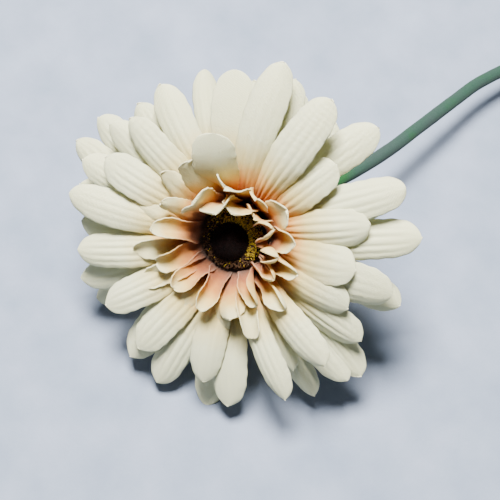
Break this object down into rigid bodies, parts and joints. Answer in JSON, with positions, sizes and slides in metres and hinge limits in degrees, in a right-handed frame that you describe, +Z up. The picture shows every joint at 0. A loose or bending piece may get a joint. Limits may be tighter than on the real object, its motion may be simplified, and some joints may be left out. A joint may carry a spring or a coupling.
{
  "type": "artificial gerbera stem",
  "caption": "Cream fabric gerbera with a peach throat and dark flocked centre on a green flocked wire stem, lying on a surface.",
  "frame": {"origin": "centre of the footprint, on the surface that the flower lies on", "axes": "+Z up; the stem runs along +Y to its cut end and the flower head is at the -Y end, facing up and towards -Y and +X"},
  "size_m": [0.0996, 0.3846, 0.0777],
  "materials": {
    "petals": "woven, heat-pressed ribs, frayed cut edges",
    "frill": "woven, airbrushed peach towards the root",
    "centre": "dense dark brown flock",
    "pollen": "mustard and brown flock",
    "calyx": "moulded, satin",
    "stem": "short flock over a plastic tube",
    "wire": "drawn wire, cut end"
  },
  "bodies": {
    "root": {"petal_sheet_back": "petals", "petal_sheet_middle": "petals", "petal_sheet_front": "petals", "frill_sheet_outer": "frill", "frill_sheet_inner": "frill", "centre_boss": "centre", "pollen_ring": "pollen", "calyx": "calyx", "stem_sleeve": "stem", "stem_wire": "wire"}
  },
  "joints": []
}
